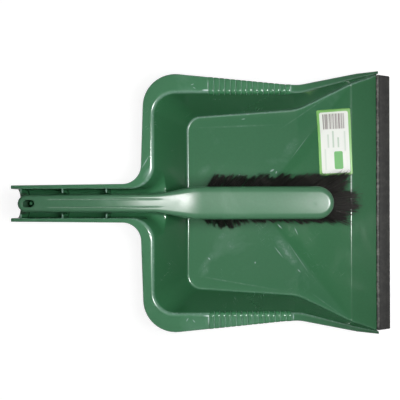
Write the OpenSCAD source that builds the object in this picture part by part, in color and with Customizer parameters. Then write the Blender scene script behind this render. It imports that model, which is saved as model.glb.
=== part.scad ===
// Dust pan and hand brush set.
// X runs along the handle towards the lip, Z is up. The origin is the centre of the
// set's box, on the surface that it stands on. All sizes are in millimetres.

/* [Overall] */
// Length from the end of the handle to the tip of the lip
overall_l = 438; // [430:1:446]
// Height of the rim above the ground
rim_h = 100; // [99:1:102]
// Thickness of the moulded walls
wall = 2.5; // [2:0.1:3]

/* [Bowl] */
// Width between the side walls at the rim
bowl_w = 235; // [225:1:245]
// Width of the floor at its back corners
floor_w = 212; // [205:1:220]
// Width of the floor where it starts to widen
bend_w = 231; // [225:1:235]
// Lip tip to the inner edge of the back rim
bowl_l = 286; // [280:1:292]
// How far the back wall leans back from floor to rim
back_lean = 34; // [25:1:40]
// Width of the mouth inside
mouth_w = 314; // [308:1:318]
// Lip tip to the fold where the rim starts to slope down
fold_l = 139; // [130:1:145]
// Lip tip to the ridge that keeps the dust in
ridge_l = 51.5; // [48:0.5:58]
// Width of the floor along the ridge
ridge_w = 290; // [285:1:295]
// Height of the ridge
ridge_h = 14; // [11:1:16]
// Height of the floor's shallow crown in the middle
crown_h = 3; // [1:0.5:4]

/* [Rim] */
// Width of the rim beside the back corners
rim_side_w = 23.2; // [16:0.2:24]
// Width of the rim beside the fold
rim_fold_w = 9; // [7:0.5:11]
// Width of the rim along the back
rim_back_w = 11; // [9:0.5:14]
// Width of the rim beside the mouth
rim_mouth_w = 3; // [2.8:0.2:5]
// Height of the rim beside the mouth
rim_mouth_h = 16; // [14:1:20]
// Depth of the rim's down-turned skirt
skirt_h = 5; // [3:0.5:8]
// Length of the ribbed grip on each side
grip_l = 88.5; // [60:0.5:96]
// Number of ribs in a grip
grip_ribs = 15; // [8:1:16]
// Depth of the grooves between the grip's ribs
groove_d = 1.2; // [0.8:0.1:1.5]

/* [Pan handle] */
// Outer width of the handle where it meets the bowl
handle_w = 42; // [40:1:46]
// Outer width of the handle at its end
handle_end_w = 39; // [38:1:42]
// Width of the channel that holds the brush
channel_w = 31; // [30.5:0.5:32]
// Depth of the channel
channel_d = 32; // [30:1:34]

/* [Lip] */
// Width of the rubber lip seen from above
lip_w = 19; // [16:1:22]
// Height of the lip where it covers the pan's edge
lip_h = 9; // [8:0.5:10]

/* [Brush] */
// Length of the brush
brush_l = 344.5; // [340:0.5:345]
// Width of the brush handle at its end
grip_w = 18.4; // [17:0.2:19]
// Length of the head
head_l = 158; // [154:1:160]
// Width of the head
head_w = 36.4; // [34:0.2:37]
// Height of the head's underside above the ground
head_z = 60; // [58:1:62]
// Length of the bristles outside the head
bristle_l = 50; // [40:1:51]
// Number of tufts in a cross row
row_tufts = 4; // [3:1:4]
// Radius of a tuft hole
hole_r = 2.2; // [1.8:0.1:2.3]

/* [Hidden] */
$fa = 6;
$fs = 0.6;
arc_n = 8;                                // steps in a rounded corner of an outline

// Stations along X
x_end = -overall_l / 2;
x_tip = overall_l / 2;
x_back = x_tip - bowl_l;
x_fold = x_tip - fold_l;
x_ridge = x_tip - ridge_l;
x_mouth = x_tip - lip_w;
x_foot = x_back + back_lean;
x_bend = x_fold + 24;                     // where the floor starts to widen
x_apex = x_fold - 27;                     // where the floor's four facets meet

// Heights
floor_z = wall;
mouth_z = lip_h - 1.5;                    // top of the pan's front edge
channel_z = rim_h - channel_d;
slope = (rim_h - rim_mouth_h) / (x_mouth - x_fold);

// Radii of the outlines' corners
rim_corner_r = 23;
outer_corner_r = 35;
floor_corner_r = 18;
flare_r = 60;
root_r = 20;
throat_r = 25;
channel_r = 10;
band_w = 9;                               // flat band between the walls and the floor's facets

// Plates across the channel that carry the brush, and the peg for its hang slot
bulkheads = [x_end + 9.5, x_end + 54, x_end + 101];
bulkhead_t = 1.6;
bulkhead_drop = 0.3;                      // how far the plates stop below the rim
notch_w = 22;
notch_r = 2;
peg_r = 2.2;
peg_drop = 7;                             // how far the peg stops below the brush's top
sunk = 0.5;                               // how far a piece is let into what carries it

// The pan's front edge is a tongue that sits in the lip
tongue_l = 7;
tongue_t = 1.6;

// Brush
x_brush = x_end + 5.5;                    // end of the brush handle
x_head = x_brush + brush_l - head_l;      // back of the head
x_toe = x_brush + brush_l;                // front of the head
grip_top = rim_h - 2;
grip_z = grip_top - 20;
head_top = head_z + 24;
neck_l = 44;                              // how far behind the head the brush starts to widen
slope_l = 88;                             // how far behind the head its top starts to drop
slope_end = 24;                           // how far over the head the drop ends
toe_fall = 2.4;                           // how far the head's top falls towards the toe
brush_wall = 2.2;
seat_gap = 0.4;                           // air between the brush and what carries it
slot_l = 12;
slot_w = 7.8;
slot_x = x_brush + 12.2;
peg_x = slot_x + 1.1;
pockets = 6;                              // hollows under the brush handle
groove_y = 4.3;

// Tufts
tuft_rows = 18;
row_pitch = 7.8;
tuft_pitch = 7.4;
x_row = x_toe - 10 - (tuft_rows - 1) * row_pitch;
hole_d = 12;
tuft_r = hole_r - 0.05;
tip_r = 4;
toe_rows = 3;                             // rows at the toe that lean out over the ridge
staple = [4.9, 0.45, 2.2];

// Paper label on the floor
label = [40, 81, 0.3];
label_x = x_ridge - 19.5;
label_y = 74;
label_turn = 2.4;

// ---------------------------------------------------------------- outlines

function unit(v) = v / norm(v);
function turn(a) = a > 180 ? a - 360 : (a < -180 ? a + 360 : a);
function mix(a, b, t) = a + (b - a) * t;
function clamp(t) = min(max(t, 0), 1);
function ease(t) = let (u = clamp(t)) u * u * (3 - 2 * u);

// The arc of radius r that rounds the corner b between a and c, or b itself where r is 0
function corner(a, b, c, r) =
    r == 0 ? [b] : let (
        u = unit(a - b),
        v = unit(c - b),
        half = acos(u * v) / 2,
        mid = b + unit(u + v) * r / sin(half),
        from = b + u * r / tan(half) - mid,
        to = b + v * r / tan(half) - mid,
        start = atan2(from.y, from.x),
        sweep = turn(atan2(to.y, to.x) - start)
    )
    [for (k = [0 : arc_n]) mid + r * [cos(start + sweep * k / arc_n), sin(start + sweep * k / arc_n)]];

// An open outline: its ends are kept and each corner between them is rounded
function outline(p, r) = concat(
    [p[0]],
    [for (i = [1 : len(p) - 2]) each corner(p[i - 1], p[i], p[i + 1], r[i - 1])],
    [p[len(p) - 1]]
);

// Half of the bowl's outline at the rim and at the floor, from the middle of the back wall
// to the mouth, with the walls moved out by g. Point for point the two lie across a wall.
function rim_outline(g) = outline(
    [[x_back - g, 0], [x_back - g, bowl_w / 2 + g], [x_apex, bowl_w / 2 + g],
     [x_fold + 8, bowl_w / 2 + g], [x_ridge, ridge_w / 2 + 1.5 + g], [x_mouth, mouth_w / 2 + g]],
    [rim_corner_r + g, 0, flare_r, 0]
);
function floor_outline(g) = outline(
    [[x_foot - g, 0], [x_foot - g, floor_w / 2 + g], [x_apex, (floor_w + bend_w) / 4 + g],
     [x_bend, bend_w / 2 + g], [x_ridge, ridge_w / 2 + g], [x_mouth, mouth_w / 2 + g]],
    [floor_corner_r + g, 0, flare_r, 0]
);

// The rim's edges, from the end of the handle to the mouth. The inner one stands in the
// bowl by spare, because the hollows are cut after the rim is joined on.
function rim_inner(spare) = outline(
    [[x_end, channel_w / 2 - spare], [x_back + spare, channel_w / 2 - spare],
     [x_back + spare, bowl_w / 2 - spare], [x_fold + 8, bowl_w / 2 - spare],
     [x_ridge, ridge_w / 2 + 1.5 - spare], [x_mouth, mouth_w / 2 - spare]],
    [throat_r + spare, rim_corner_r - spare, flare_r, 0]
);
function rim_outer() = outline(
    [[x_end, handle_end_w / 2], [x_back - rim_back_w - 3, handle_w / 2],
     [x_back - rim_back_w + 1, bowl_w / 2 + rim_side_w + 1],
     [x_fold + 4, bowl_w / 2 + rim_fold_w - 1], [x_ridge, ridge_w / 2 + 7],
     [x_mouth, mouth_w / 2 + rim_mouth_w]],
    [root_r, outer_corner_r, flare_r, 0]
);

// Height of the rim's top at x
function rim_z(x) = rim_h - max(0, x - x_fold) * slope;

// Height of the floor's top at x: on the ramp, along the sides, and along the middle, where
// it rises to the apex and on to the ridge
function ramp_z(x) = mix(ridge_h, mouth_z, (x - x_ridge) / (x_mouth - x_ridge));
function side_z(x) =
    x > x_ridge ? ramp_z(x)
    : mix(floor_z, ridge_h, max(0, (x - x_bend) / (x_ridge - x_bend)));
function middle_z(x) =
    x > x_ridge ? ramp_z(x)
    : x > x_apex ? mix(floor_z + crown_h, ridge_h, (x - x_apex) / (x_ridge - x_apex))
    : mix(floor_z, floor_z + crown_h, max(0, (x - x_foot) / (x_apex - x_foot)));

// Half width of the facets' field at x: the floor without its flat band
function field_w(x, half_w) = half_w - band_w * clamp((x_ridge - x) / (x_ridge - x_bend) + 0.02);

// How far the creases between the facets stand from the middle at x
function crease_w(x, field) =
    let (t = x > x_apex ? (x - x_apex) / (x_ridge - x_apex) : (x_apex - x) / (x_apex - x_foot))
    field * min(0.98, max(0.02, t));

// ---------------------------------------------------------------- lofts

// A solid from rows of points. Each row is a closed loop, and ends lists the faces that
// close the first row; the last row is closed in the same way.
module loft(rows, ends) {
    n = len(rows[0]);
    m = len(rows) - 1;
    skin = [for (i = [0 : m - 1], j = [0 : n - 1])
        each [[i * n + j, (i + 1) * n + j, (i + 1) * n + (j + 1) % n],
              [i * n + j, (i + 1) * n + (j + 1) % n, i * n + (j + 1) % n]]];
    last = [for (e = ends) [for (k = [len(e) - 1 : -1 : 0]) m * n + e[k]]];
    polyhedron([for (r = rows) each r], concat(ends, skin, last));
}

// A slot as seen along X: w wide with corners of radius r at the bottom, h high
module u_shape(w, r, h) {
    hull() for (s = [-1, 1]) translate([s * (w / 2 - r), r]) circle(r, $fn = 24);
    translate([-w / 2, r]) square([w, h - r]);
}

// Makes a drawing of the YZ plane a plate of thickness t, from x on and standing on z
module across(x, z, t) {
    translate([x, 0, z]) rotate([90, 0, 90]) linear_extrude(t) children();
}

// Draws a side profile right across the mouth, w wide
module along_mouth(w) {
    translate([0, w / 2, 0]) rotate([90, 0, 0]) linear_extrude(w) children();
}

// ---------------------------------------------------------------- dustpan

// The bowl as a solid with its walls moved out by g, its top lifted by lid and its mouth
// moved out by past. A row crosses it: floor, wall, top, wall, floor.
module bowl(g, lid, past) {
    tops = rim_outline(g);
    feet = floor_outline(g);
    last = len(tops) - 1;
    loft([for (i = [1 : last]) let (
            t = tops[i] + [i == last ? past : 0, 0],
            f = feet[i] + [i == last ? past : 0, 0],
            field = field_w(f.x, f.y - g),
            crease = crease_w(f.x, field),
            z = side_z(f.x) - g,
            c = middle_z(f.x) - g,
            e = rim_z(t.x),
            bend = e - wall - 2
        ) [
            [f.x, crease, c], [f.x, field, z], [f.x, f.y, z], [t.x, t.y, bend], [t.x, t.y, e + lid],
            [t.x, -t.y, e + lid], [t.x, -t.y, bend], [f.x, -f.y, z], [f.x, -field, z], [f.x, -crease, c]
        ]],
        [[0, 1, 8, 9], [1, 2, 7, 8], [2, 3, 6, 7], [3, 4, 5, 6]]
    );
}

// The handle's channel as a solid: straight sides and a round bottom
module channel(g, lid) {
    start = x_end - (g > 0 ? 0 : 1);
    across(start, channel_z - g, x_foot - back_lean / 2 - start)
        u_shape(channel_w + 2 * g, channel_r + g, channel_d + g + lid);
}

// The throat where the channel opens into the bowl. Its sides curve out to the back wall,
// and follow the wall's lean. A level holds its height over the channel's floor, how far
// the round bottom stands in there, and its share of the throat's full radius.
module throat(g, lid) {
    levels = [[0, channel_r, 0.5], [1.2, 5.2, 0.62], [4, 2, 0.76], [channel_r, 0, 0.88],
              [channel_d + g - 3, 0, 1], [channel_d + g + lid, 0, 1]];
    loft([for (l = levels) let (
            z = channel_z - g + l[0],
            y = channel_w / 2 + g - l[1],
            r = throat_r * l[2] - g,
            x = x_back - g + back_lean * max(0, rim_h - z) / (rim_h - floor_z),
            side = concat([[x - r, y]], corner([x - r - 1, y], [x, y], [x, y + r + 1], r), [[x + 2, y + r]])
        ) concat([for (p = side) [p.x, -p.y, z]], [for (k = [len(side) - 1 : -1 : 0]) [side[k].x, side[k].y, z]])],
        [[for (k = [0 : 2 * arc_n + 5]) k]]
    );
}

// The flat rim with its skirt, on the side where y is positive
module rim_side() {
    inner = rim_inner(wall - 0.8);
    outer = rim_outer();
    loft([for (i = [0 : len(inner) - 1]) let (
            a = inner[i],
            b = outer[i],
            c = b + unit(a - b) * wall,
            za = rim_z(a.x),
            zb = rim_z(b.x)
        ) [
            [a.x, a.y, za - wall], [c.x, c.y, zb - wall], [c.x, c.y, zb - skirt_h],
            [b.x, b.y, zb - skirt_h], [b.x, b.y, zb], [a.x, a.y, za]
        ]],
        [[0, 1, 4, 5], [1, 2, 3, 4]]
    );
}

// V-shaped grooves across one side of the rim, that leave the grip's ribs between them
module grip_grooves() {
    pitch = grip_l / grip_ribs;
    half = groove_d * 0.75;
    for (i = [0 : grip_ribs])
        translate([x_fold + 0.5 - pitch * i, bowl_w / 2 + rim_side_w + 3, rim_h]) rotate([90, 0, 0])
            linear_extrude(rim_side_w + 6) polygon([[-half, 0], [0, -groove_d], [half, 0], [0, groove_d]]);
}

// The side profile of the tongue on the pan's front edge, which is also the slot in the lip
module tongue_profile(back) {
    drop = (ridge_h - mouth_z) / (x_mouth - x_ridge);
    top = mouth_z - 0.6;
    polygon([[x_mouth - back, top + back * drop], [x_mouth - back, top + back * drop - tongue_t],
             [x_mouth + tongue_l, top - tongue_l * drop - tongue_t], [x_mouth + tongue_l, top - tongue_l * drop]]);
}

// A plate across the channel with a notch for the brush handle
module bulkhead(x) {
    across(x, channel_z - sunk, bulkhead_t) difference() {
        u_shape(channel_w + 2 * sunk, channel_r + sunk, channel_d + sunk - bulkhead_drop);
        translate([0, grip_z - seat_gap - channel_z + sunk]) u_shape(notch_w, notch_r, channel_d);
    }
}

// The round-headed peg that stands in the brush's hang slot
module peg() {
    h = grip_top - peg_drop - channel_z + sunk;
    translate([peg_x, 0, channel_z - sunk]) rotate_extrude($fn = 16) polygon(concat(
        [[0, 0], [peg_r, 0]],
        [for (a = [0 : 30 : 90]) [peg_r * cos(a), h - peg_r * (1 - sin(a))]]
    ));
}

module pan() color([0.10, 0.27, 0.15]) {
    difference() {
        union() {
            bowl(wall, -1, 0);
            channel(wall, -1);
            throat(wall, -1);
            rim_side();
            mirror([0, 1, 0]) rim_side();
        }
        bowl(0, 40, 1);
        channel(0, 40);
        throat(0, 40);
        grip_grooves();
        mirror([0, 1, 0]) grip_grooves();
    }
    along_mouth(mouth_w - 2) tongue_profile(4);
    for (x = bulkheads) bulkhead(x);
    peg();
}

// ---------------------------------------------------------------- lip and label

// A strip of rubber that grips the pan's front edge and runs out to a thin tip
module rubber_lip() color([0.09, 0.09, 0.085]) {
    along_mouth(mouth_w) difference() {
        polygon([[x_mouth, lip_h], [x_mouth + 3.4, lip_h - 0.2], [x_mouth + 4, lip_h - 0.9],
                 [x_tip, 1], [x_tip, 0], [x_tip - 6, 0], [x_mouth, 2.6]]);
        tongue_profile(0);
    }
}

// A paper label stuck to the floor, bent where it meets the ridge
module paper_label() color([0.9, 0.95, 0.88]) {
    intersection() {
        along_mouth(mouth_w) polygon(concat(
            [for (x = [x_apex, x_ridge, x_mouth]) [x, middle_z(x)]],
            [for (x = [x_mouth, x_ridge, x_apex]) [x, middle_z(x) + label.z]]
        ));
        translate([label_x, label_y, 0]) rotate(label_turn) translate([-label.x / 2, -label.y / 2, 0])
            cube([label.x, label.y, 2 * ridge_h]);
    }
}

// ---------------------------------------------------------------- brush

// Half width, top and bottom of the brush at x. The neck widens and drops from the handle
// to the head, and both ends are round.
function round_end(d, r) = d >= r ? 1 : sqrt(max(0, 1 - pow((r - d) / r, 2)));
function full_w(x) = mix(
    grip_w / 2 + 0.9 * (x - x_brush) / (x_head - x_brush),
    head_w / 2,
    ease((x - x_head + neck_l) / (neck_l + 8))
);
function half_w(x) = full_w(x)
    * round_end(x - x_brush + 0.05, grip_w / 2) * round_end(x_toe - x + 0.05, head_w / 2);
function top_z(x) = mix(
    grip_top,
    head_top - toe_fall * pow(clamp((x - x_head - slope_end) / (head_l - slope_end)), 2),
    ease(pow(clamp((x - x_head + slope_l) / (slope_l + slope_end)), 1.2))
) - 2.5 * (1 - round_end(x - x_brush, 5)) - 5 * (1 - round_end(x_toe - x, 8));
function bottom_z(x) = mix(grip_z, head_z, ease((x - x_head + neck_l - 5) / (neck_l - 2)));

// A cross-section at x, pulled in by g and sunk below the brush by down: flat underneath,
// with straight sides and a rounded top
function section(x, g, down) =
    let (
        w = half_w(x) - g,
        top = top_z(x) - g,
        b = bottom_z(x) - down,
        rise = min(9, (top - b) * 0.6)
    )
    concat(
        [[x, w, b]],
        [for (a = [0 : 15 : 180])
            [x, w * sign(cos(a)) * pow(abs(cos(a)), 0.6), top - rise + rise * pow(abs(sin(a)), 0.6)]],
        [[x, -w, b]]
    );

// A solid along the brush through the given stations
module brush_loft(stations, g, down) {
    rows = [for (x = stations) section(x, g, down)];
    loft(rows, [[for (k = [0 : len(rows[0]) - 1]) k]]);
}

// A hole right through the handle: a slot with round ends
module hang_slot() {
    translate([slot_x, 0, grip_z - 5]) linear_extrude(40) union() {
        for (s = [-1, 1]) translate([s * (slot_l - slot_w) / 2, 0]) circle(slot_w / 2);
        square([slot_l - slot_w, slot_w], center = true);
    }
}

function row_x(i) = x_row + row_pitch * i;
function tuft_y(j) = tuft_pitch * (j - (row_tufts - 1) / 2);

// One moulding: a hollow handle with ribs under it, and a head drilled for the tufts
module brush_stock() color([0.13, 0.30, 0.17]) {
    stations = concat(
        [for (a = [0 : 15 : 75]) x_brush + grip_w / 2 * (1 - cos(a))],
        [x_brush + grip_w / 2 + 1, x_head - slope_l],
        [for (x = [x_head - slope_l + 11 : 11 : x_head - neck_l]) x],
        [for (t = [0.12 : 0.11 : 1]) x_head - neck_l + t * (neck_l + 8)],
        [x_head + 14, x_head + slope_end, x_head + head_l / 2, x_toe - head_w / 2],
        [for (a = [15 : 12 : 88]) x_toe - head_w / 2 * (1 - sin(a))]
    );
    from = slot_x + slot_l / 2 + 4;
    pitch = (x_head - neck_l - from) / pockets;
    difference() {
        brush_loft(stations, 0, 0);
        for (i = [0 : pockets - 1])
            brush_loft([from + pitch * i, from + pitch * (i + 1) - 1.8], brush_wall, 1);
        for (s = [-1, 1]) translate([slot_x + 20, s * groove_y, grip_top + 0.5]) rotate([0, 90, 0])
            cylinder(r = 1.2, h = 100, $fn = 16);
        hang_slot();
        for (i = [0 : tuft_rows - 1], j = [0 : row_tufts - 1])
            translate([row_x(i), tuft_y(j), head_z - 1]) cylinder(r = hole_r, h = hole_d + 1);
    }
}

// Flat wire staples, one across the bottom of each hole, that hold the tufts
module tuft_staples() color([0.7, 0.7, 0.68]) {
    for (i = [0 : tuft_rows - 1], j = [0 : row_tufts - 1])
        translate([row_x(i), tuft_y(j), head_z + hole_d - staple.z / 2]) cube(staple, center = true);
}

// Where a tuft points: it leans forward, more so along the brush and most at the toe, and
// the sides fan out, more so to the left
function lean(i, j) =
    let (toe = max(0, (i + 1 - tuft_rows + toe_rows) / toe_rows))
    [mix(4, 34, i / (tuft_rows - 1)) + toe * (12 - 0.4 * abs(tuft_y(j))), 3.6 + 1.4 * tuft_y(j)];

// A tuft: held under its staple in the hole, then fanning out to its trimmed tip. It is
// lofted from the bundle's round section at the tip, at the hole's mouth and at the top.
module tuft(i, j) {
    d = lean(i, j);
    foot = -sqrt(pow(bristle_l, 2) - pow(norm(d), 2));
    rings = [[d.x, d.y, foot, tip_r], [0, 0, 0, tuft_r], [0, 0, hole_d - staple.z, tuft_r]];
    translate([row_x(i), tuft_y(j), head_z]) loft(
        [for (q = rings) [for (a = [0 : 30 : 330]) [q[0] + q[3] * cos(a), q[1] + q[3] * sin(a), q[2]]]],
        [[for (k = [0 : 11]) k]]
    );
}

module tuft_row(i) color([0.06, 0.06, 0.055]) {
    for (j = [0 : row_tufts - 1]) tuft(i, j);
}

row_names = [for (i = [0 : tuft_rows - 1]) str("tuft_row_", i < 9 ? "0" : "", i + 1)];
pan();
rubber_lip();
paper_label();
brush_stock();
tuft_staples();
for (i = [0 : tuft_rows - 1]) tuft_row(i);
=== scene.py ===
# %% [markdown]
# # A dustpan and its hand brush
# The set is two mouldings of green plastic: a wide pan with a flat rim, and a brush that is
# stored in the pan, its handle in the channel of the pan's own handle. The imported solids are
# right in size and place, and plain. This lesson gives them their looks: fine surfaces with
# rounded edges, thousands of bristles, and plastics, rubber and paper that show some use.
#
# Every length is in millimetres until a mesh is made, in the same frame as the solids: X
# runs from the end of the handle to the lip, Z is up, and the set stands on Z = 0.

# %% Load the frame
import bmesh
import bpy
import numpy as np
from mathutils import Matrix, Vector


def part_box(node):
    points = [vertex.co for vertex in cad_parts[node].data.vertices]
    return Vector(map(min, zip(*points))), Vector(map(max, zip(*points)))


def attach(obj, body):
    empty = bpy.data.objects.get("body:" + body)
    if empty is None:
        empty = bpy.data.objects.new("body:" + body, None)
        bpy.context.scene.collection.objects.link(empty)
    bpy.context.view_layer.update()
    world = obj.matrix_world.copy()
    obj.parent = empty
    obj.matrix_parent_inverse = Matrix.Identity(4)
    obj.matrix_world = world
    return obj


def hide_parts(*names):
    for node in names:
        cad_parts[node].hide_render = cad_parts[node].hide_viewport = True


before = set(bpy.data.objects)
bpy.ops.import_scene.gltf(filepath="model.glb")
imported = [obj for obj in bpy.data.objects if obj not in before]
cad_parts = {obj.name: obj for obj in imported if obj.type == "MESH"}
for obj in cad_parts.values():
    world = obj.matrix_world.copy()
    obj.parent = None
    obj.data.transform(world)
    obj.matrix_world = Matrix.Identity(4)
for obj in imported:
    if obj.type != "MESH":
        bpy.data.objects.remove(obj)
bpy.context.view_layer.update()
MM = 0.001


def box_mm(node):
    """The lowest and highest corner of a solid, in millimetres."""
    return [np.array(corner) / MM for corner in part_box(node)]


pan_low, pan_high = box_mm("pan")
lip_low, lip_high = box_mm("rubber_lip")
print("pan", pan_low.round(1), pan_high.round(1))
print("lip", lip_low.round(1), lip_high.round(1))

# %% [markdown]
# ## Camera
# The set is seen from straight above, from as far as an arm reaches. A near camera matters
# here: the rim is nearly 100 mm above the floor of the pan, so it shows clearly larger, and
# every inner wall can be seen. A shift keeps the camera square to the pan while the picture's
# middle lies a little above the pan's own.

# %% Camera
eye = np.array([-17.15, 0.0, 700.0])
camera_data = bpy.data.cameras.new("camera")
camera_data.sensor_width = 36
camera_data.lens = 50.6
camera_data.shift_y = 0.0076
camera = bpy.data.objects.new("camera", camera_data)
camera.location = Vector(eye * MM)
camera.rotation_euler = (0, 0, -0.003)
bpy.context.collection.objects.link(camera)
bpy.context.scene.camera = camera
bpy.context.scene.view_settings.view_transform = "Standard"
print("camera", eye, "mm, lens", camera_data.lens)

# %% [markdown]
# ## Small tools
# Most of the shapes are grids: a function of two parameters is worked out for all its
# points at once, and neighbouring points become four-sided faces. These helpers turn such
# arrays into meshes.

# %% Grids and meshes
def grid_faces(rows, columns, wrap=False):
    """Four-sided faces of a grid whose points are numbered row by row. With wrap, the last
    column is joined to the first, which makes a tube."""
    r = np.arange(rows - 1)[:, None] * columns
    c = np.arange(columns if wrap else columns - 1)[None, :]
    d = (c + 1) % columns
    return np.stack([r + c, r + d, r + columns + d, r + columns + c], axis=-1).reshape(-1, 4)


def surface(x, y, z):
    """A grid of points from three coordinates, each a grid, a row, a column or a number."""
    return np.stack(np.broadcast_arrays(x, y, z), axis=-1)


def closed_tube(rings):
    """Points and faces of a tube along rings of points. Each end is closed by one more ring
    that has shrunk to the middle of the last one."""
    ends = [np.repeat(rings[[k]].mean(axis=1, keepdims=True), rings.shape[1], 1) for k in (0, -1)]
    rings = np.concatenate([ends[0], rings, ends[1]])
    return rings.reshape(-1, 3), grid_faces(*rings.shape[:2], wrap=True)


def join_parts(parts):
    """Stacks several (points, faces) pairs into one pair."""
    sizes = np.cumsum([0] + [len(points) for points, _ in parts[:-1]])
    points = np.concatenate([points for points, _ in parts])
    return points, np.concatenate([faces + start for (_, faces), start in zip(parts, sizes)])


def both_sides(points, faces):
    """A part and its mirror image beyond the middle plane, whose faces run the other way."""
    return join_parts([(points, faces), (points * [1, -1, 1], faces[:, ::-1])])


def new_piece(name, points, faces, body, worn_or_lit=None):
    """A smooth mesh object from an (n, 3) array in millimetres and an (m, k) array of faces. The
    last argument is a number at each point, from 0 to 1, that a material reads as paleness: wear in
    some places, a painted highlight in others."""
    mesh = bpy.data.meshes.new(name)
    mesh.vertices.add(len(points))
    mesh.vertices.foreach_set("co", (points * MM).astype(np.float32).ravel())
    mesh.loops.add(faces.size)
    mesh.loops.foreach_set("vertex_index", faces.astype(np.int32).ravel())
    mesh.polygons.add(len(faces))
    starts = np.arange(0, faces.size, faces.shape[1], dtype=np.int32)
    mesh.polygons.foreach_set("loop_start", starts)
    mesh.polygons.foreach_set("use_smooth", np.ones(len(faces), dtype=bool))
    if worn_or_lit is not None:
        attribute = mesh.attributes.new("worn_or_lit", "FLOAT", "POINT")
        attribute.data.foreach_set("value", worn_or_lit.astype(np.float32).ravel())
    mesh.update(calc_edges=True)
    piece = bpy.data.objects.new(name, mesh)
    bpy.context.collection.objects.link(piece)
    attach(piece, body)
    return piece


def weld(piece, distance=0.01):
    """Joins points of a piece that lie within the distance, drops faces of no area and
    turns all faces outwards, or upwards on an open sheet."""
    shape = bmesh.new()
    shape.from_mesh(piece.data)
    bmesh.ops.remove_doubles(shape, verts=shape.verts, dist=distance * MM)
    bmesh.ops.dissolve_degenerate(shape, edges=shape.edges, dist=distance * MM / 10)
    bmesh.ops.recalc_face_normals(shape, faces=shape.faces)
    is_open = any(edge.is_boundary for edge in shape.edges)
    if is_open and sum(face.normal.z * face.calc_area() for face in shape.faces) < 0:
        bmesh.ops.reverse_faces(shape, faces=shape.faces)
    shape.to_mesh(piece.data)
    shape.free()


def mix(a, b, t):
    """The value t of the way from a to b."""
    return a + (b - a) * t


def ease(t):
    """A smooth step from 0 to 1: 3 t squared less 2 t cubed."""
    t = np.clip(t, 0, 1)
    return t * t * (3 - 2 * t)


def unit(v):
    """Vectors of length 1 along v."""
    return v / np.linalg.norm(v, axis=-1, keepdims=True)


# %% [markdown]
# ## The pan
# The pan is one thin-walled moulding, so one surface can describe everything that is seen
# from above, and Solidify then gives it its wall. Seen in plan, the rim follows an outline:
# along the handle, round the throat, along the back, round the corner, along the side and
# out to the mouth. Each point of that outline starts a path that climbs the skirt, crosses
# the rim and goes down the wall to the floor. The outline gives the grid's columns and the
# path its rows. Blocks cut with Booleans could make the pan as well, but a grid keeps its
# points where the roundings need them. Both halves are the same, so only the left one is
# worked out.

# %% Sizes of the pan
x_end = pan_low[0]                      # end of the handle
x_tip = lip_high[0]                     # tip of the lip
x_mouth = lip_low[0]                    # front edge of the pan
x_back = x_tip - 286                    # inner edge of the back rim
x_fold = x_tip - 139                    # where the rim starts to slope down
x_ridge = x_tip - 51.5                  # ridge that keeps the dust in
x_foot = x_back + 34                    # foot of the back wall
x_bend = x_fold + 24                    # where the floor starts to widen
x_apex = x_fold - 27                    # where the facets of the floor meet
rim_h = pan_high[2]
rim_mouth_h = 16                        # height of the rim at the mouth
floor_z = 2.5
mouth_z = 7.5
ridge_h = 14
crown_h = 3
channel_d = 32
channel_z = rim_h - channel_d
channel_r = 10                          # rounding of the channel's bottom
half_channel = 15.5
half_bowl = 117.5
half_mouth = 157
throat_r = 25
skirt_h = 5
wall = 2.4
edge_r = 4                              # rounding of the rim's inner edge
outer_r = 1.5                           # rounding of its outer edge
foot_r = 2.5                            # rounding between wall and floor
print("rim at", rim_h.round(1), "mouth at", x_mouth.round(1), "mm")

# %% Outlines
def fillet(a, b, c, r, steps):
    """The arc that rounds the corner b between a and c: its middle lies on the corner's
    bisector, and its points turn evenly from one side to the other."""
    u, v = unit(a - b), unit(c - b)
    half = np.arccos(np.clip(u @ v, -1, 1)) / 2
    middle = b + unit(u + v) * r / np.sin(half)
    start = b + u * r / np.tan(half) - middle
    end = b + v * r / np.tan(half) - middle
    sweep = np.pi - 2 * half
    t = np.linspace(0, 1, steps + 1)[:, None]
    return middle + (np.sin((1 - t) * sweep) * start + np.sin(t * sweep) * end) / np.sin(sweep)


def outline(corners, radii, steps, runs):
    """An open outline with rounded corners. Between two corners it is straight, and its
    points there lie at the fractions that runs gives."""
    corners = [np.array(c, float) for c in corners]
    rounded = zip(corners, corners[1:], corners[2:], radii, steps)
    arcs = [corners[0][None]] + [fillet(*r) for r in rounded] + [corners[-1][None]]
    points = [arcs[0]]
    for before, after, run in zip(arcs, arcs[1:], runs):
        points += [before[-1] + (after[0] - before[-1]) * run[:, None], after]
    return np.concatenate(points)


def inside(count, gather=0.0):
    """Fractions between 0 and 1, without them, for count steps. Gather from 0 to 1 draws
    them towards both ends."""
    t = np.arange(1, count) / count
    return t - gather * np.sin(2 * np.pi * t) / (2 * np.pi)


# Steps along the handle, the back, the side, the flare and the mouth, and round the corners
handle_run, back_run, side_run = inside(30), inside(16), inside(48)
flare_run, mouth_run = inside(26, 0.8), inside(14, 0.8)
throat_steps, corner_steps, flare_steps = 16, 14, 10
rim_steps = [throat_steps, corner_steps, flare_steps, 0]
rim_runs = [handle_run, back_run, side_run, flare_run, mouth_run]

inner_edge = outline(
    [[x_end, half_channel], [x_back, half_channel], [x_back, half_bowl],
     [x_fold + 8, half_bowl], [x_ridge, 146.5], [x_mouth, half_mouth]],
    [throat_r, 23, 60, 0], rim_steps, rim_runs)
outer_edge = outline(
    [[x_end, 19.5], [x_back - 14, 21], [x_back - 10, 141.7],
     [x_fold + 4, 125.5], [x_ridge, 152], [x_mouth, 160]],
    [20, 35, 60, 0], rim_steps, rim_runs)


def floor_outline(inset):
    """The bowl's outline at its floor, from the back corner on, moved inwards by inset."""
    return outline(
        [[x_foot + inset, 0], [x_foot + inset, 106 - inset], [x_bend, 115.5 - inset],
         [x_ridge, 145 - inset], [x_mouth, half_mouth - inset]],
        [18 - inset, 60, 0], rim_steps[1:], rim_runs[1:])[len(back_run) + 1:]


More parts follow.
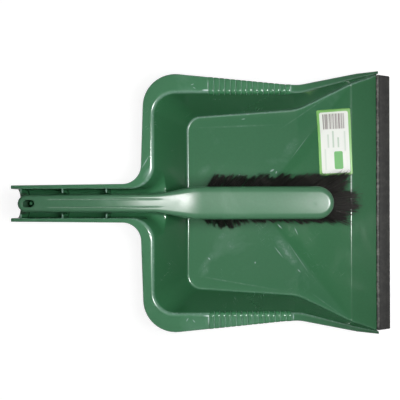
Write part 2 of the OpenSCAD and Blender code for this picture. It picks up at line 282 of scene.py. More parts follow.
columns = len(inner_edge)
throat_end = len(handle_run) + throat_steps + 1      # column where the back wall starts
corner_start = throat_end + len(back_run) + 1        # column where the back corner starts
print(columns, "columns:", throat_end, "to the throat's end,", corner_start, "to the corner")

# %% [markdown]
# Two height rules belong to the pan. The rim is level and then falls in a straight line to
# the mouth. The floor is four flat facets that meet at the top of a low crown, a flat band
# runs along the walls, and beyond the ridge a ramp leads down to the lip.

# %% Heights of the rim and of the floor
rim_slope = (rim_h - rim_mouth_h) / (x_mouth - x_fold)
band_w = 9                              # width of the flat band at the foot of the ramp


def rim_z(x):
    """Height of the rim: level, then falling from the fold to the mouth."""
    return rim_h - np.maximum(0, x - x_fold) * rim_slope


def floor_height(x, y, half_width):
    """Height of the floor. Along the middle it rises to the apex and on to the ridge, along
    the sides it stays low for longer, and the creases run from the apex to the corners."""
    ramp = mix(ridge_h, mouth_z, (x - x_ridge) / (x_mouth - x_ridge))
    side = mix(floor_z, ridge_h, np.clip((x - x_bend) / (x_ridge - x_bend), 0, 1))
    to_apex = (x - x_foot) / (x_apex - x_foot)
    to_ridge = (x - x_apex) / (x_ridge - x_apex)
    back = mix(floor_z, floor_z + crown_h, np.clip(to_apex, 0, 1))
    middle = np.where(x > x_apex, mix(floor_z + crown_h, ridge_h, to_ridge), back)
    field = half_width - band_w * np.clip((x_ridge - x) / (x_ridge - x_bend) + 0.02, 0, 1)
    crease = field * np.clip(np.where(x > x_apex, to_ridge, 1 - to_apex), 0.02, 0.98)
    past_crease = np.clip((np.abs(y) - crease) / (field - crease), 0, 1)
    return np.where(x > x_ridge, ramp, mix(middle, side, past_crease))


# %% [markdown]
# The wall is worked out level by level. At each depth the channel has a half width, which
# shrinks over its round bottom, and the throat has a radius, which shrinks as well. Below
# the channel's floor only the bowl goes on, so a few more columns start there.

# %% Levels of the wall
round_part = np.cos(np.radians(np.arange(75, -1, -15)))          # levels of the round bottom
channel_levels = np.concatenate([
    np.linspace(edge_r, channel_d - channel_r, 6), channel_d - channel_r + channel_r * round_part])
bowl_levels = 12
share_heights, shares = [0, 1.2, 4, 10, 32], [0.5, 0.62, 0.76, 0.88, 1.0]


def back_wall_x(depth):
    """Where the leaning back wall stands at a depth below the rim."""
    return x_back + (x_foot - x_back) * depth / (rim_h - floor_z)


def throat_level(depth):
    """The outline of the channel and the throat at a depth below the rim."""
    height = channel_d - depth
    sunk = channel_r - np.sqrt(channel_r ** 2 - max(0, channel_r - height) ** 2)
    x, y = back_wall_x(depth), half_channel - sunk
    r = throat_r * np.interp(height, share_heights, shares)
    corners = [[x_end, y], [x, y], [x, half_bowl]]
    flat = outline(corners, [r], [throat_steps], [handle_run, inside(1)])[:-1]
    return surface(flat[:, 0], flat[:, 1], rim_h - depth)


throat_walls = np.stack([throat_level(depth) for depth in channel_levels])
below = throat_walls[-1, -1, 1]          # half width of the throat at the channel's floor
print("levels", channel_levels.round(1), "throat", below.round(1))

# %% [markdown]
# Now the whole half surface can be laid out. Each corner of a column's path is rounded with
# a curve that leaves one side at a point, is drawn towards the corner, and arrives at a
# point on the other side. The rim is only 3 mm wide at the mouth, so the roundings shrink
# with the rim and with the wall.

# %% Rim, walls and floor of one half
def bend(start, corner, end, steps):
    """Curves that round corners: (1 - t) squared of start, 2 t (1 - t) of the corner and
    t squared of end."""
    t = np.linspace(0, 1, steps + 1)[:, None, None]
    return (1 - t) ** 2 * start + 2 * t * (1 - t) * corner + t ** 2 * end


def between(start, end, count):
    """Rows that cut the way from start to end into count steps, without either."""
    return start + (end - start) * (np.arange(1, count) / count)[:, None, None]


grip_dip = 1.0                          # how far the rim lies lower under the ribs
grip_low, grip_high = x_fold - 88, x_fold + 0.5
top_in = np.column_stack([inner_edge, rim_z(inner_edge[:, 0])])
top_out = np.column_stack([outer_edge, rim_z(outer_edge[:, 0])])
in_grip = ease((top_in[:, 0] - grip_low + 2) / 2) * (1 - ease((top_in[:, 0] - grip_high) / 2))
top_in[:, 2] -= grip_dip * in_grip
top_out[:, 2] -= grip_dip * in_grip
rim_w = np.linalg.norm(top_in - top_out, axis=1)
outward = unit(top_out - top_in)
down = np.array([0, 0, -1.0])
inner_reach = np.minimum(edge_r, 0.33 * rim_w)       # reach of the inner rounding
outer_reach = np.minimum(outer_r, 0.3 * rim_w)       # reach of the outer rounding

bowl = slice(corner_start, columns)
foot = floor_outline(0)
inset = floor_outline(foot_r)
foot = np.column_stack([foot, floor_height(foot[:, 0], foot[:, 1], foot[:, 1])])
high = top_in[bowl, 2] - foot[:, 2]                  # height of the wall at each column
lift = np.minimum(foot_r, 0.2 * high)                # reach of the foot's rounding up the wall

back_height = rim_h - floor_z
upper = (channel_levels - edge_r) / (back_height - edge_r - foot_r)
lower = np.arange(1, bowl_levels + 1) / bowl_levels
shares_down = np.concatenate([upper, mix(upper[-1], 1, lower)])

# Walls of the bowl from the corner on: straight lines from the rim to the foot
start_down = inner_reach[bowl]
depths = start_down + (high - start_down - lift) * shares_down[:, None]
bowl_wall = top_in[bowl] + (foot - top_in[bowl]) * (depths / high)[..., None]

# The back wall between the throat and the corner: the same plane, level by level
back_depths = edge_r + (back_height - edge_r - foot_r) * shares_down
throat_side = np.concatenate([throat_walls[:, -1, 1], np.full(bowl_levels, below)])
corner_side = bowl_wall[:, 0, 1]
across = np.arange(len(back_run) + 1) / (len(back_run) + 1)
back_y = throat_side[:, None] + (corner_side - throat_side)[:, None] * across
back_points = surface(back_wall_x(back_depths)[:, None], back_y, (rim_h - back_depths)[:, None])

upper_levels = len(channel_levels)
upper_wall = np.concatenate(
    [throat_walls[:, :-1], back_points[:upper_levels], bowl_wall[:upper_levels]], axis=1)
print("upper wall", upper_wall.shape, "columns", columns)

# %% [markdown]
# The grid is finished in five patches that share their borders: the rim with the upper
# wall, the lower wall, the middle of the back wall under the channel, the floor, and the
# flat bottom of the channel. The half is mirrored, points that meet are welded, and
# Solidify adds the wall's thickness on the far side.

# %% Patches of the pan
def patch(rows, worn_or_lit):
    """A grid of points of shape (rows, columns, 3) as points, faces, and how pale each point is,
    from use and as a painted highlight.
    """
    count, width = rows.shape[:2]
    spread = np.broadcast_to(worn_or_lit, (count, width)).reshape(-1)
    return rows.reshape(-1, 3), grid_faces(count, width)[:, ::-1], spread


on_rim, down_skirt = inner_reach[:, None] * outward, outer_reach[:, None] * down
skirt_low = top_out + down * skirt_h
outer_round = bend(top_out + down_skirt, top_out, top_out - outer_reach[:, None] * outward, 5)
flat = between(outer_round[-1], top_in + on_rim, 5)
inner_round = bend(top_in + on_rim, top_in, upper_wall[0], 8)
rim_rows = np.concatenate([
    skirt_low[None], between(skirt_low, outer_round[0], 3), outer_round, flat,
    inner_round[:-1], upper_wall])
# Pale rows on the rim's outer and inner roundings: wear, and on the inner rounding mostly a painted
# highlight.
rim_wear_and_highlight = np.concatenate([
    np.zeros(3), [0, 0.2, 0.5, 0.5, 0.2, 0], np.zeros(4),
    [0, 0.1, 0.25, 0.5, 0.5, 0.5, 0.25, 0.1], np.zeros(upper_levels)])

foot_points = foot[:, :2] + (inset - foot[:, :2]) * (lift / foot_r)[:, None]
foot_points = np.column_stack([foot_points, floor_height(*foot_points.T, foot[:, 1])])
bowl_foot = bend(bowl_wall[-1], foot, foot_points, 6)
low_bowl = np.concatenate([bowl_wall[upper_levels - 1:-1], bowl_foot])


def back_strip(rows):
    """Adds the rounding at the foot to level rows of the back wall."""
    corner = surface(x_foot, rows[-1, :, 1], floor_z)
    return np.concatenate([rows[:-1], bend(rows[-1], corner, corner + [foot_r, 0, 0], 6)])


low_wall = np.concatenate([back_strip(back_points[upper_levels - 1:]), low_bowl], axis=1)
# A pale line at the wall's foot: a painted highlight on its rounding, with some dust.
foot_dust_and_highlight = np.concatenate([np.zeros(bowl_levels), [0, 0.3, 0.7, 0.7, 0.7, 0.3, 0]])

middle_out = np.linspace(0, 1, 11)      # steps from the middle plane outwards
low_depths = back_depths[upper_levels - 1:, None]
low_middle = back_strip(surface(back_wall_x(low_depths), below * middle_out, rim_h - low_depths))

# The floor: each row crosses from the middle to the foot of the wall
across_floor = np.concatenate([low_middle[-1, :-1, 1], low_wall[-1, :len(back_run) + 2, 1]])
across_floor = across_floor / across_floor[-1]
floor_edge = np.vstack([low_wall[-1, len(back_run) + 1], foot_points[1:]])
floor_x, floor_y = floor_edge[:, :1], floor_edge[:, 1:2] * across_floor
floor_rows = surface(floor_x, floor_y, floor_height(floor_x, floor_y, foot[:, 1:2]))
# A pale line along the ridge's crest: wear, and a painted highlight, strongest in the middle.
ridge_wear_and_highlight = 0.2 + 0.4 * np.exp(-(floor_y / 60) ** 2)
ridge_wear_and_highlight = ridge_wear_and_highlight * np.exp(-((floor_x - x_ridge) / 1.2) ** 2)

# The bottom of the channel, from its round sides to the middle
bottom_x, bottom_y = throat_walls[-1, :, 0], throat_walls[-1, :, 1]
channel_rows = surface(bottom_x, bottom_y * (1 - middle_out)[:, None], channel_z)

patches = [
    patch(rim_rows, rim_wear_and_highlight[:, None]),
    patch(low_wall, foot_dust_and_highlight[:, None]),
    patch(low_middle, foot_dust_and_highlight[:, None]),
    patch(floor_rows[:, ::-1], ridge_wear_and_highlight[:, ::-1]),
    patch(channel_rows, 0),
]
print([p[0].shape for p in patches])

# %% Pan
# The mirrored half carries less of the pale wear and painted highlights, most of all at the wall's
# foot and on the ridge.
far_wear_and_highlights = [0.9, 0.25, 0.7, 0.25, 1]    # wear of each patch on the other half, as a share
half_wear_and_highlights = [p[2] for p in patches]
other_wear_and_highlights = [wear_and_highlights * share for wear_and_highlights, share in zip(half_wear_and_highlights, far_wear_and_highlights)]
points, faces = both_sides(*join_parts([p[:2] for p in patches]))
pan = new_piece("pan_moulding", points, faces, "dustpan",
                np.concatenate(half_wear_and_highlights + other_wear_and_highlights))
weld(pan)
thicken = pan.modifiers.new("wall", "SOLIDIFY")
thicken.thickness = wall * MM
thicken.offset = -1
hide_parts("pan")
print("pan", len(pan.data.vertices), "points", len(pan.data.polygons), "faces")

# %% [markdown]
# ## Ribbed grips
# Both sides of the rim have a row of ribs for the fingers. The path of a rib climbs the
# skirt, crosses the rim and bends over its inner edge, where the rib stands a little proud
# of the wall. The row is one sheet: its distance from the rim is a fat half wave that
# repeats, so that only narrow grooves are left between the ribs.

# %% Ribbed grips
rib_count = 15
rib_pitch = (grip_high - grip_low) / rib_count
in_rib = np.array([0, 0.035, 0.08, 0.14, 0.23, 0.35, 0.5, 0.65, 0.77, 0.86, 0.92, 0.965])
rib_x = (np.arange(rib_count)[:, None] + in_rib).ravel() * rib_pitch + grip_low
rib_x = np.append(rib_x, grip_high)
one_rise = (1 - np.abs(2 * in_rib - 1) ** 2.6) ** 0.55
rib_rise = np.append(np.tile(one_rise, rib_count), 0)


def rib_path(x, y_inner, y_outer):
    """Points across the rim at x and the way out of the surface at each. The path is made
    of the skirt, a rounding, the rim, a rounding and the top of the wall."""
    outer = surface(x, y_outer, rim_h - grip_dip)
    inner = surface(x, y_inner, rim_h - grip_dip)
    round_out, round_in = 1.4, 3.6
    skirt = outer + down * (skirt_h - 0.8)
    wall_low = inner + np.array([0, -0.6, -7.0])
    start_round = bend(outer + down * round_out, outer, outer - [0, round_out, 0], 4)
    end_round = bend(inner + [0, round_in, 0], inner, inner + down * round_in, 8)
    rows = np.concatenate([
        skirt[None], start_round, between(start_round[-1], end_round[0], 4), end_round,
        between(end_round[-1], wall_low, 4), wall_low[None]])
    along = np.gradient(rows, axis=0)
    return rows, unit(surface(0, along[..., 2], -along[..., 1]))


rows, out = rib_path(rib_x, half_bowl, np.interp(rib_x, *outer_edge[corner_start:].T))
travel = np.linspace(0, 1, len(rows))[:, None]
full = ease(travel / 0.25) * 0.85 + 0.15
fade = np.sqrt(np.clip(1 - ((travel - 0.72) / 0.28).clip(0) ** 2, 0, 1))
sheet = rows + out * (rib_rise * full * fade * grip_dip)[..., None]
under = rows - out * 0.8
rings = np.concatenate([sheet, under[::-1]]).transpose(1, 0, 2)
rib_worn = np.zeros((len(rings) + 2, rings.shape[1]))
rib_worn[1:-1, :len(sheet)] = np.clip(1 - rib_rise * 1.6, 0, 1)[:, None]
points, faces = both_sides(*closed_tube(rings))
ribs = new_piece("grip_ribs", points, faces, "dustpan", np.tile(rib_worn.ravel(), 2))
weld(ribs)
print("grip ribs", rib_count, "of", round(rib_pitch, 2), "mm")

# %% [markdown]
# ## Plates and peg in the channel
# Three plates stand across the channel, each with a notch that carries the brush handle. A
# plate is a band that is bent into a U: its outer edge follows the channel and its inner
# edge follows the notch. The peg at the end stands in the hang slot of the brush.

# %% Plates and peg
plate_x = [x_end + 9.5, x_end + 54, x_end + 101]
plate_t = 1.6
plate_top = rim_h - 0.5
sunk_in = 0.4                           # how far a plate reaches into the channel's walls
x_brush = x_end + 5.5                   # end of the brush handle
slot_x = x_brush + 12.2                 # middle of its hang slot
grip_top = rim_h - 2                    # top of the brush handle
grip_bottom = grip_top - 20
notch_half, notch_r = 11, 2


def u_path(half, r, bottom, steps=8):
    """A U in the plane across the channel: down one side, along the bottom and up."""
    turn = np.radians(np.linspace(0, 90, steps + 1))
    heights = [plate_top, plate_top - 0.6, (plate_top + bottom + r) / 2]
    side = np.array([[half, height] for height in heights])
    arc = np.column_stack([half - r + r * np.cos(turn), bottom + r - r * np.sin(turn)])
    one = np.concatenate([side, arc])
    return np.concatenate([one, one[::-1] * [-1, 1]])


# Across the plate's thickness and from the channel to the notch, as shares of each
plate_section = np.array([[0, 0], [0, 0.7], [0.12, 0.93], [0.35, 1],
                          [0.65, 1], [0.88, 0.93], [1, 0.7], [1, 0]])


def plate(x):
    """A band between two U paths, with the section's corners rounded at the notch."""
    outer = u_path(half_channel + sunk_in, channel_r + sunk_in, channel_z - sunk_in)
    inner = u_path(notch_half, notch_r, grip_bottom - 0.4)
    flat = outer[:, None] + (inner - outer)[:, None] * plate_section[:, 1:]
    return closed_tube(surface(x + plate_t * plate_section[:, 0], flat[..., 0], flat[..., 1]))


points, faces = join_parts([plate(x) for x in plate_x])
# The plates' top edges are painted pale: a painted highlight.
plate_top_highlight = np.where(points[:, 2] > rim_h - 1, 0.7, 0)
plates = new_piece("channel_plates", points, faces, "dustpan", plate_top_highlight)
weld(plates)


def revolve(profile, x, around):
    """Turns a profile of (radius, height) points round an upright axis at x."""
    a = np.linspace(0, 2 * np.pi, around, endpoint=False)
    r, z = profile[:, :1], profile[:, 1:]
    points = surface(x + r * np.cos(a), r * np.sin(a), z)
    return points.reshape(-1, 3), grid_faces(len(profile), around, wrap=True)


peg_r, peg_top, peg_x = 2.2, grip_top - 7, slot_x + 1.1
dome = np.radians(np.linspace(0, 90, 7))
peg_profile = np.concatenate([
    [[0, channel_z - 0.5], [3.4, channel_z - 0.5], [2.6, channel_z + 0.6], [peg_r, channel_z + 2]],
    np.column_stack([peg_r * np.cos(dome), peg_top - peg_r + peg_r * np.sin(dome)])])
points, faces = revolve(peg_profile, peg_x, 28)
peg = new_piece("channel_peg", points, faces, "dustpan", np.zeros(len(points)))
weld(peg)
print("plates at", np.round(plate_x, 1), "peg at", peg_x.round(1))

# %% [markdown]
# ## Rubber lip
# The lip is one profile carried along the mouth. It grips the pan's front edge with a
# thick flap and runs out to a thin tip that lies on the ground. A rubber strip is never
# quite straight, so the flap's edge wanders by a few tenths of a millimetre.

# %% Rubber lip
lip_profile = np.array([
    [x_mouth - 0.2, 2.6], [x_mouth - 0.2, 8.4], [x_mouth + 0.3, 8.9], [x_mouth + 1.0, 9.0],
    [x_mouth + 2.9, 8.9], [x_mouth + 3.4, 8.6], [x_mouth + 3.7, 7.9], [x_mouth + 4.1, 7.45],
    [x_mouth + 5, 7.3], [x_tip - 4.5, 2.7], [x_tip - 1.5, 1.3], [x_tip - 0.35, 0.85], [x_tip, 0.5],
    [x_tip - 0.3, 0.12], [x_tip - 1.2, 0], [x_tip - 6, 0]])
flap_share = np.array([0, 0, 0, 0, 1, 1, 1, 0.6, 0.3, 0, 0, 0, 0, 0, 0, 0])
lip_worn = np.array([0.2, 0.6, 1, 1, 1, 0.9, 0.3, 0.1, 0.1, 0.12, 0.2, 0.5, 0.6, 0, 0, 0])
lip_ends = half_mouth - 0.7             # here the section starts to shrink towards each end
lip_y = np.concatenate([[-half_mouth], np.linspace(-lip_ends, lip_ends, 90), [half_mouth]])[:, None]
wander = 0.22 * np.sin(lip_y / 31) + 0.12 * np.sin(lip_y / 11.3 + 1)
shrink = np.where(np.abs(lip_y) > half_mouth - 0.1, 0.12, 0)
section = mix(lip_profile, lip_profile.mean(axis=0), shrink[..., None])
lip_x = np.minimum(section[..., 0] + wander * flap_share, x_tip)
points, faces = closed_tube(surface(lip_x, lip_y, section[..., 1]))
lip = new_piece("lip_strip", points, faces, "dustpan",
                np.tile(lip_worn, len(lip_y) + 2))
weld(lip)
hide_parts("rubber_lip")
print("lip from", x_mouth.round(1), "to", x_tip.round(1))

# %% [markdown]
# ## Paper label
# The label is a thin sheet that follows the floor, so it bends where it crosses the ridge
# and a crease. It keeps its own flat coordinates from 0 to 1 along both edges, which the
# material uses to print the border, the panel and the bars.

# %% Paper label
label_size = np.array([40.0, 81.0])
label_middle = np.array([x_ridge - 19.5, 74.0])
label_turn = np.radians(2.4)
corner_r = 1.2 / label_size             # rounded corners, as shares of the size
u, v = np.meshgrid(np.linspace(0, 1, 49), np.linspace(0, 1, 61), indexing="ij")
from_end = np.minimum(np.minimum(v, 1 - v) / corner_r[1], 1)
cut_off = (1 - np.sqrt(1 - (1 - from_end) ** 2)) * corner_r[0]
flat_u = mix(cut_off, 1 - cut_off, u)
along, sideways = ((np.stack([flat_u, v], -1) - 0.5) * label_size).transpose(2, 0, 1)
x = label_middle[0] + along * np.cos(label_turn) - sideways * np.sin(label_turn)
y = label_middle[1] + along * np.sin(label_turn) + sideways * np.cos(label_turn)
curl = 0.5 * np.clip(1 - np.hypot(flat_u - 1, v) / 0.12, 0, 1) ** 2      # one loose corner
above_floor = 0.22
z = floor_height(x, y, np.interp(x, foot[:, 0], foot[:, 1])) + above_floor + curl
label = new_piece("floor_label", surface(x, y, z).reshape(-1, 3), grid_faces(*u.shape),
                  "dustpan")
sheet_uv = label.data.uv_layers.new(name="sheet")
loop_points = np.zeros(len(label.data.loops), dtype=np.int32)
label.data.loops.foreach_get("vertex_index", loop_points)
flat_places = np.stack([flat_u, v], -1).reshape(-1, 2)[loop_points]
sheet_uv.data.foreach_set("uv", flat_places.astype(np.float32).ravel())
paper = label.modifiers.new("paper", "SOLIDIFY")
paper.thickness = 0.12 * MM
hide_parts("paper_label")
print("label", label_size, "mm, turned", np.degrees(label_turn).round(1), "degrees")

# %% [markdown]
# ## Brush
# The brush stock is one loft. Its width, its top and its underside are functions of the
# place along the brush, and the cross-section is a closed loop: over the crowned top, down
# the sides, and back along the underside, which rises into a row of hollows under the
# handle. Two shallow grooves run along the top of the handle.

# %% Brush sizes
brush_l, head_l, neck_l = 344.5, 158, 44
x_toe = x_brush + brush_l
x_head = x_toe - head_l
head_z = 60                             # underside of the head
head_top = head_z + 24
grip_half, head_half = 9.2, 18.2        # half widths, and the radii of the round ends
brush_wall = 2.2

# The top's slope as a share of its steepest, at distances from the head's start
slope_places, slope_shares = [-100, -48, -5, 13, head_l], [0, 1, 1, 0, 0.05]


def round_end(d, r):
    """Rises from 0 at an end to 1 at the distance r, along a quarter of a circle."""
    t = np.clip((r - d) / r, 0, 1)
    return np.sqrt(1 - t * t)


def brush_half(x):
    """Half the brush's width: slim along the handle, wider along the neck, round at both
    ends."""
    grip = grip_half + 0.9 * (x - x_brush) / (x_head - x_brush)
    full = mix(grip, head_half, ease((x - x_head + neck_l) / (neck_l + 8)))
    return full * round_end(x - x_brush, grip_half) * round_end(x_toe - x, head_half)


def brush_top(x):
    """Height of the brush's top. Its slope grows from nothing behind the neck, stays the
    same along the neck and dies out on the head, and the fall is the sum of the slope."""
    places = np.arange(x_brush, x_toe, 0.5)
    slope = np.interp(places - x_head, slope_places, slope_shares)
    fallen = np.cumsum(slope) / slope[places < x_head + 14].sum()
    return grip_top - (grip_top - head_top) * np.interp(x, places, fallen)


def brush_bottom(x):
    """Height of the brush's underside."""
    return mix(grip_bottom, head_z, ease((x - x_head + neck_l - 5) / (neck_l - 2)))


# %% Brush loft
hollow_count = 6
hollow_start = slot_x + 10
hollow_pitch = (x_head - neck_l - hollow_start) / hollow_count
one_hollow = [0, 0.5, hollow_pitch - 2.3, hollow_pitch - 1.8]
hollow_edges = hollow_start + hollow_pitch * np.arange(hollow_count)[:, None] + one_hollow
hollow_edges = hollow_edges.ravel()
end_turn = np.radians(np.linspace(0, 90, 19))
s = np.unique(np.concatenate([
    x_brush + grip_half * (1 - np.cos(end_turn)), np.arange(x_brush + 12, x_toe - 20, 2.5),
    x_toe - head_half * (1 - np.cos(end_turn)), hollow_edges]).round(3))[:, None]
hollow_open = np.interp(s, hollow_edges, np.tile([0, 1, 1, 0], hollow_count))

w, top, base = brush_half(s), brush_top(s), brush_bottom(s)
on_head = ease((s - x_head + neck_l) / neck_l)
edge_h = mix(3.6, 5.5, on_head)         # fall of the rounded edges
edge_reach = mix(3.6, 6.5, on_head)     # and how far they reach in
edge = np.minimum(edge_reach, 0.45 * w)
crown = mix(0.7, 0.9, on_head) * w / head_half
hem = 0.5 * w / head_half               # rounding under the sides
groove_y, groove_w, groove_d = 4.3, 0.62, 0.8
groove_start, groove_end = -184, -74
fine = np.minimum(1, (w - edge) / 6.5)
top_y = np.concatenate([
    np.linspace(0, 3, 4) * fine, np.linspace(3.3, 5.3, 11) * fine,
    mix(5.3 * fine, w - edge, np.linspace(0.1, 1, 9))], axis=1)
groove = groove_d * np.exp(-((top_y - groove_y) / groove_w) ** 2)
groove = groove * ease((s - groove_start) / 9) * (1 - ease((s - groove_end) / 20))
round_y = w - edge * (1 - np.linspace(0, 1, 9)[1:]) ** 2


def crowned(y):
    """The top at y: a flat arch, which falls along a quarter of an ellipse at the outline.
    At both ends of the brush the outline is a half circle round its own middle."""
    from_toe = head_half - np.hypot(np.maximum(s - x_toe + head_half, 0), y)
    from_end = grip_half - np.hypot(np.maximum(x_brush + grip_half - s, 0), y)
    from_edge = np.where(s > x_toe - head_half, from_toe, w - y)
    from_edge = np.where(s < x_brush + grip_half, from_end, from_edge)
    arch = crown * (y / np.maximum(w, 0.01)) ** 2
    return top - arch - edge_h * (1 - round_end(np.maximum(from_edge, 0), edge_reach))


round_z = crowned(round_y)
side = np.linspace(0, 1, 7)[1:]
side_y, side_z = np.repeat(w, len(side), 1), mix(round_z[:, -1:], base + hem, side)
hem_y, hem_z = w * [0.985, 0.96], base + hem * [0.25, 0]
hollow_w = np.maximum(w - brush_wall, w * 0.5)
hollow_h = np.maximum(top - brush_wall - 0.8 - base, 0)
hollow_y = hollow_w * [1, 0.995, 0.985, 0.97, 0.9, 0.75, 0.5, 0.25, 0]
hollow_z = base + hollow_h * hollow_open * [0, 0.3, 0.6, 0.85, 0.96, 1, 1, 1, 1]

# Half a section, from the middle of the top round to the middle of the underside
half_y = np.concatenate([top_y, round_y, side_y, hem_y, hollow_y], axis=1)
half_z = np.concatenate([crowned(top_y) - groove, round_z, side_z, hem_z, hollow_z], axis=1)
loop_y = np.concatenate([half_y, -half_y[:, -2:0:-1]], axis=1)
loop_z = np.concatenate([half_z, half_z[:, -2:0:-1]], axis=1)
groove_worn = np.zeros(loop_y.shape)
groove_worn[:, :groove.shape[1]] = groove
groove_worn[:, -groove.shape[1] + 1:] = groove[:, :0:-1]
points, faces = closed_tube(surface(s, loop_y, loop_z))
brush = new_piece("brush_moulding", points, faces, "brush",
                  np.pad(groove_worn, ((1, 1), (0, 0)), "edge"))
weld(brush)
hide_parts("brush_stock")
print("brush from", x_brush.round(1), "to", x_toe.round(1), "faces", len(brush.data.polygons))

# %% [markdown]
# The hang slot goes right through the handle. A cutter with the slot's outline flares out
# at the top, which leaves a rounded edge, and one Boolean takes it away.

# %% Hang slot
slot_l, slot_w = 12, 7.8
slot_r, slot_half = slot_w / 2, (slot_l - slot_w) / 2
turn = np.linspace(0, 2 * np.pi, 48, endpoint=False)

# How deep under the handle's top, and how much wider than the slot
flare = np.array([[-3, 0.9], [-0.4, 0.9], [0, 0.3], [0.3, 0.08],
                  [0.8, 0], [19, 0], [20.2, 0.5], [24, 0.6]])
cut_z = grip_top - 0.2 - flare[:, :1]
cut_r = slot_r + flare[:, 1:]
cut_x = slot_x + np.sign(np.cos(turn)) * slot_half + cut_r * np.cos(turn)
points, faces = closed_tube(surface(cut_x, cut_r * np.sin(turn), cut_z))
cutter = new_piece("slot_cutter", points, faces, "brush")
weld(cutter)
cut = brush.modifiers.new("slot", "BOOLEAN")
cut.object = cutter
cut.solver = "EXACT"
cut_brush = brush.evaluated_get(bpy.context.evaluated_depsgraph_get())
cut_mesh = bpy.data.meshes.new_from_object(cut_brush)
brush.modifiers.remove(cut)
brush.data = cut_mesh
bpy.data.objects.remove(cutter)
cut_mesh.polygons.foreach_set("use_smooth", np.ones(len(cut_mesh.polygons), dtype=bool))
print("slot cut,", len(cut_mesh.polygons), "faces")

# %% [markdown]
# ## Bristles
# Each tuft leaves its hole as a tight bundle and fans out to its trimmed tip. A hair system
# could grow the strands, but a mesh looks the same everywhere, so every strand is a thin
# three-sided tube on a curved path: it leaves its hole at a slant and bends further towards
# its tip. Use has set the bristles, so some strands stray from the rest. One row of tufts is
# one piece, and a seed makes the result repeat.

# %% Bristles
random = np.random.default_rng(7)
tuft_rows, row_tufts, row_pitch, tuft_pitch = 18, 4, 7.8, 7.4
x_row = x_toe - 10 - (tuft_rows - 1) * row_pitch         # the first row, by the neck
bristle_l = 50
root_in = 3                             # how far inside the head the strands start
floor_gap = 4.5                         # how near a tip comes to the pan's floor
strands, clumps, cuts = 140, 10, 7


def strand_tubes(roots, tips, radius):
    """Three-sided tubes from roots to tips. A path falls in even steps, and moves sideways
    with a share that starts slowly, 0.55 t + 0.45 t squared; the tube narrows to its tip."""
    t = np.linspace(0, 1, cuts)[None, :, None]
    sideways = 0.55 * t + 0.45 * t ** 2
    share = np.concatenate([sideways, sideways, t], axis=2)
    path = roots[:, None] + (tips - roots)[:, None] * share
    path = path + np.array([0, 0, 1.0]) * (0.8 * t * (1 - t))
    along = unit(np.gradient(path, axis=1))
    side = unit(np.cross(along, [1.0, 0.3, 0.1]))
    other = np.cross(along, side)
    taper = radius[:, None, None] * (1 - 0.65 * t ** 3)
    turn = np.radians([0, 120, 240])[:, None]
    ring = side[:, :, None] * np.cos(turn) + other[:, :, None] * np.sin(turn)
    points = path[:, :, None] + ring * taper[..., None]
    faces = grid_faces(cuts, 3, wrap=True) + (np.arange(len(roots)) * cuts * 3)[:, None, None]
    return points.reshape(-1, 3), faces.reshape(-1, 4)


def tuft_lean(i):
    """Where the tufts of row i stand, how far sideways they reach, and how near the toe
    they are, from 0 to 1. The lean along x grows towards the toe, the sides fan out, and a
    few tufts near the handle are set outwards by use."""
    y = tuft_pitch * (np.arange(row_tufts) - (row_tufts - 1) / 2)
    along = i / (tuft_rows - 1)
    toe = max(0, (i + 4 - tuft_rows) / 3)
    x_lean = mix(4, 34, along) + toe * (10.5 - 0.8 * np.abs(y)) + (1 - along) * np.maximum(y, 0)
    y_lean = 3.6 + (np.where(y > 0, 1.4, 1.2) - 0.4 * toe) * y
    y_lean[0] -= 8 * np.exp(-((i - 2.5) / 1.5) ** 2)
    return y, np.stack([x_lean, y_lean]), toe


def on_disc(*shape):
    """Random places spread evenly over a disc of radius 1."""
    turn, far = random.random((2, *shape))
    return np.sqrt(far) * np.array([np.cos(2 * np.pi * turn), np.sin(2 * np.pi * turn)])


def tuft_row(i):
    """Roots and tips of one row. The strands of a tuft hang together in clumps, so every
    strand ends near the middle of its clump, and only a few stray far from it. Near the
    toe a tuft has more strands and spreads further. A strand keeps its length, so its drop
    is what is left of the length after its spread."""
    y, lean, toe = tuft_lean(i)
    size = (row_tufts, int(strands * (1 + 1.3 * toe)))
    middles = on_disc(row_tufts, clumps)
    clump = np.take_along_axis(middles, random.integers(0, clumps, size)[None], axis=2)
    disc = on_disc(*size)
    wild = 1 + 3 * (random.random(size) > 0.95)
    stray = random.normal(size=(2, *size)) * 0.6 * wild
    holes = np.array([np.full(row_tufts, x_row + row_pitch * i), y])
    root = clump + disc + holes[..., None]
    reach = np.array([4.2 + 1.5 * toe, 4.2 + 3.5 * toe])[:, None, None]
    spread = clump * reach + disc * (0.6 + 2.8 * toe) + stray + lean[..., None]
    length = bristle_l * (1 - 0.06 * random.random(size) ** 2)
    drop = np.sqrt(np.maximum(length ** 2 - (spread ** 2).sum(axis=0), 60))
    roots = surface(root[0], root[1], head_z + root_in)
    tips = surface(*(root + spread), np.maximum(head_z - drop, floor_z + floor_gap))
    return roots.reshape(-1, 3), tips.reshape(-1, 3)


bristle_rows = []
for i in range(tuft_rows):
    roots, tips = tuft_row(i)
    points, faces = strand_tubes(roots, tips, random.uniform(0.2, 0.3, len(roots)))
    share = np.tile(np.repeat(np.linspace(0, 1, cuts), 3), len(roots))
    pale = np.repeat(0.05 + 0.9 * (random.random(len(roots)) > 0.975), cuts * 3)
    row = new_piece(f"bristles_{i + 1:02d}", points, faces, "brush", share * pale)
    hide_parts(f"tuft_row_{i + 1:02d}")
    bristle_rows.append(row)
print(tuft_rows * row_tufts, "tufts of", strands, "strands or more")

# %% [markdown]
# ## Finishes
# A finish starts from what the stuff does to light. Four effects come again and again: thin
# scratches, pale wear on edges and in grooves, single marks, and cloudy smears from handling. On
# the pan, the pale edges, some single marks and some patches also stand for light: they are painted
# highlights and reflections. Each effect is a node group, built once, and every material that has
# it sets it to its own taste.

